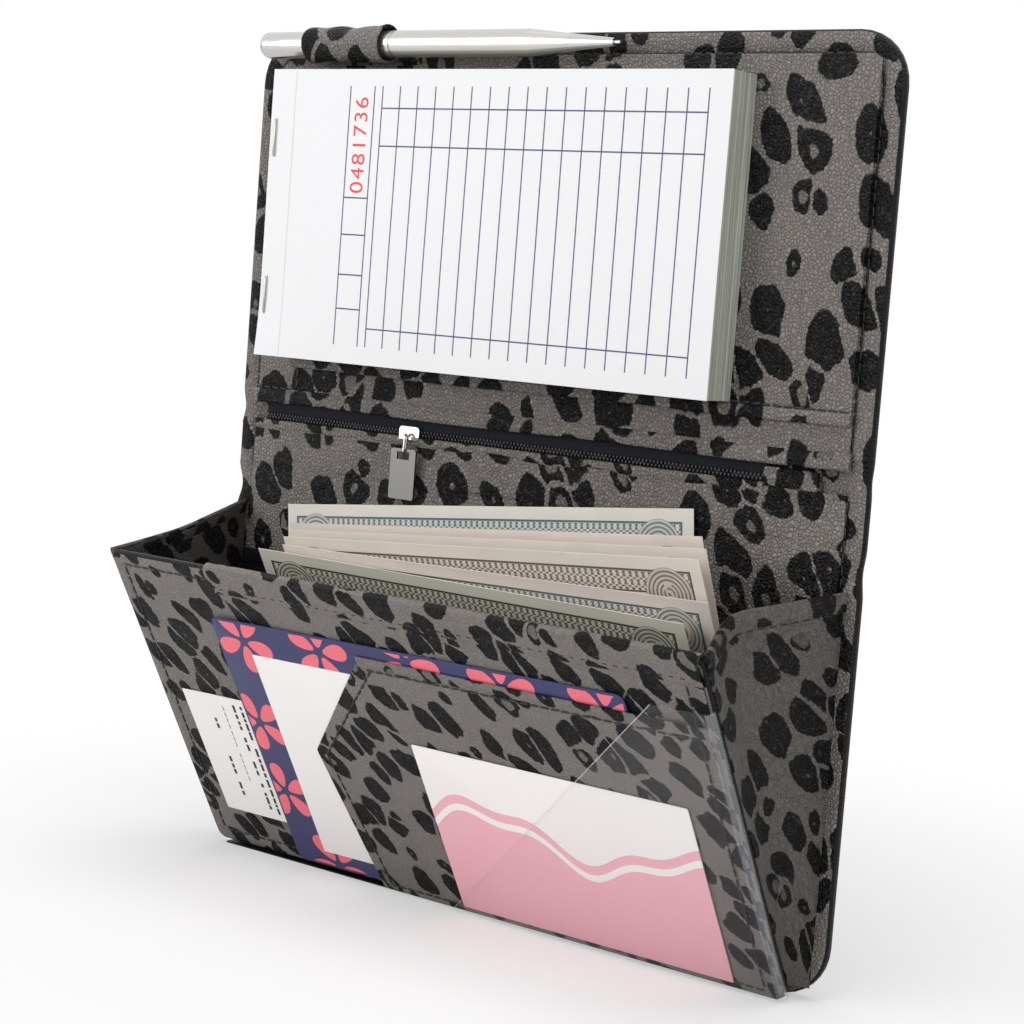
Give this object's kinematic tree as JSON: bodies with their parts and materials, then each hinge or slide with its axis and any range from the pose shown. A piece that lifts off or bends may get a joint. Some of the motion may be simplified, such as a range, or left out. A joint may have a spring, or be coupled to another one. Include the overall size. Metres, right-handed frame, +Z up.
{
  "type": "server book",
  "caption": "Folding server book in leopard-print leather, standing open: gusseted bill pocket with notes and cards, zipped pocket, guest check pad and pen in a loop.",
  "frame": {"origin": "middle of the strip that closes the bill pocket's bottom, on the floor", "axes": "+X to the right along the folds, +Y to the back, +Z up"},
  "size_m": [0.234, 0.0717, 0.2621],
  "materials": {
    "leopard_leather": "satin",
    "dark_lining": "matte",
    "grey_board": "matte",
    "zip_tape": "matte",
    "zip_teeth": "gloss",
    "zip_metal": "satin",
    "clear_vinyl": "gloss",
    "pad_paper": "matte",
    "pad_card": "matte",
    "receipt_paper": "matte",
    "menu_paper": "satin",
    "card_paper": "satin",
    "banknote_paper": "matte",
    "staple_steel": "satin",
    "pen_aluminium": "satin",
    "pen_chrome": "gloss"
  },
  "bodies": {
    "back": {"back_outer_skin": "leopard_leather", "back_board": "grey_board", "back_lining": "dark_lining", "zip_pocket_wall": "dark_lining", "inner_slip_pocket": "leopard_leather", "slip_pocket_binding": "leopard_leather", "pocket_floor_strip": "leopard_leather", "gusset_left": "leopard_leather", "gusset_right": "leopard_leather"},
    "spine": {"spine_skin": "leopard_leather", "spine_wall": "leopard_leather", "zip_tape_lower": "zip_tape", "zip_tape_upper": "zip_tape", "zip_teeth_lower": "zip_teeth", "zip_teeth_upper": "zip_teeth", "zip_end_tab": "leopard_leather"},
    "cover": {"cover_outer_skin": "leopard_leather", "cover_board": "grey_board", "cover_lining": "leopard_leather", "pad_slot_panel": "leopard_leather", "slot_panel_hem": "leopard_leather", "cover_lower_band": "leopard_leather", "zip_cover_hem": "leopard_leather", "pen_loop": "leopard_leather"},
    "pocket_front": {"front_lining_cloth": "dark_lining", "front_panel_board": "grey_board", "front_panel_skin": "leopard_leather", "front_rim_hem": "leopard_leather", "rear_card_pocket": "leopard_leather", "front_card_pocket": "leopard_leather", "clear_window": "clear_vinyl"},
    "slider": {"zip_slider": "zip_metal"},
    "pull": {"pull_ring": "zip_metal", "pull_tab": "zip_metal"},
    "guest_check_pad": {"pad_backing_card": "pad_card", "pad_pages": "pad_paper", "pad_top_sheet": "pad_paper", "pad_staples": "staple_steel"},
    "pen": {"pen_cap": "pen_aluminium", "pen_upper_barrel": "pen_aluminium", "pen_lower_barrel": "pen_aluminium", "pen_tip": "pen_chrome"},
    "receipt_paper": {"receipt": "receipt_paper"},
    "menu": {"menu_card": "menu_paper"},
    "small_card": {"window_card": "card_paper"},
    "note_1": {"banknote_1": "banknote_paper"},
    "note_2": {"banknote_2": "banknote_paper"},
    "note_3": {"banknote_3": "banknote_paper"},
    "note_4": {"banknote_4": "banknote_paper"},
    "note_5": {"banknote_5": "banknote_paper"},
    "note_6": {"banknote_6": "banknote_paper"}
  },
  "joints": [
    {"name": "spine_fold", "type": "hinge", "parent": "back", "child": "spine", "pos_m": [0, 0.00876, 0.11702], "axis": [1, 0, 0], "range_deg": [0, 90]},
    {"name": "cover_fold", "type": "hinge", "parent": "spine", "child": "cover", "pos_m": [0, 0.00993, 0.14259], "axis": [1, 0, 0], "range_deg": [0, 88]},
    {"name": "pocket_fold", "type": "hinge", "parent": "back", "child": "pocket_front", "pos_m": [0, -0.00005, 0.00226], "axis": [-1, 0, 0], "range_deg": [0, 30], "deforming": ["gusset_left", "gusset_right"]},
    {"name": "zip_slide", "type": "slide", "parent": "spine", "child": "slider", "axis": [1, 0, 0], "range_m": [-0.057, 0.123]},
    {"name": "pull_swing", "type": "hinge", "parent": "slider", "child": "pull", "pos_m": [-0.044, 0.0074, 0.1381], "axis": [1, 0, 0], "range_deg": [-120, 0]},
    {"name": "pad_slide", "type": "slide", "parent": "cover", "child": "guest_check_pad", "axis": [1, 0, 0], "range_m": [-0.15, 0]},
    {"name": "pen_slide", "type": "slide", "parent": "cover", "child": "pen", "axis": [1, 0, 0], "range_m": [-0.12, 0]},
    {"name": "receipt_slide", "type": "slide", "parent": "pocket_front", "child": "receipt_paper", "axis": [1, 0, 0], "range_m": [-0.05, 0]},
    {"name": "menu_slide", "type": "slide", "parent": "pocket_front", "child": "menu", "axis": [0, 0.4602, -0.8878], "range_m": [-0.09, 0]},
    {"name": "small_card_slide", "type": "slide", "parent": "pocket_front", "child": "small_card", "axis": [0.6222, 0.3603, -0.695], "range_m": [-0.07, 0]},
    {"name": "notes_drop", "type": "slide", "parent": "back", "child": "note_1", "axis": [0, -0.0454, -0.999], "range_m": [0, 0.042]},
    {"name": "note_2_fan", "type": "hinge", "parent": "note_1", "child": "note_2", "pos_m": [0, 0.00346, 0.04418], "axis": [-1, 0, 0], "range_deg": [0, 13]},
    {"name": "note_3_fan", "type": "hinge", "parent": "note_1", "child": "note_3", "pos_m": [0, 0.00315, 0.04419], "axis": [-1, 0, 0], "range_deg": [0, 17.5]},
    {"name": "note_4_fan", "type": "hinge", "parent": "note_1", "child": "note_4", "pos_m": [0, 0.00286, 0.04421], "axis": [-1, 0, 0], "range_deg": [0, 22]},
    {"name": "note_5_fan", "type": "hinge", "parent": "note_1", "child": "note_5", "pos_m": [0, 0.00256, 0.04422], "axis": [-1, 0, 0], "range_deg": [0, 26]},
    {"name": "note_6_fan", "type": "hinge", "parent": "note_1", "child": "note_6", "pos_m": [0, 0.00226, 0.04424], "axis": [-1, 0, 0], "range_deg": [0, 30]}
  ],
  "couplings": [
    {"joint": "pocket_fold", "follows": "spine_fold", "ratio": 0.3333},
    {"joint": "notes_drop", "follows": "spine_fold", "m_per_rad": 0.026735},
    {"joint": "note_2_fan", "follows": "spine_fold", "ratio": 0.14443},
    {"joint": "note_3_fan", "follows": "spine_fold", "ratio": 0.19442},
    {"joint": "note_4_fan", "follows": "spine_fold", "ratio": 0.24442},
    {"joint": "note_5_fan", "follows": "spine_fold", "ratio": 0.28886},
    {"joint": "note_6_fan", "follows": "spine_fold", "ratio": 0.3333}
  ]
}
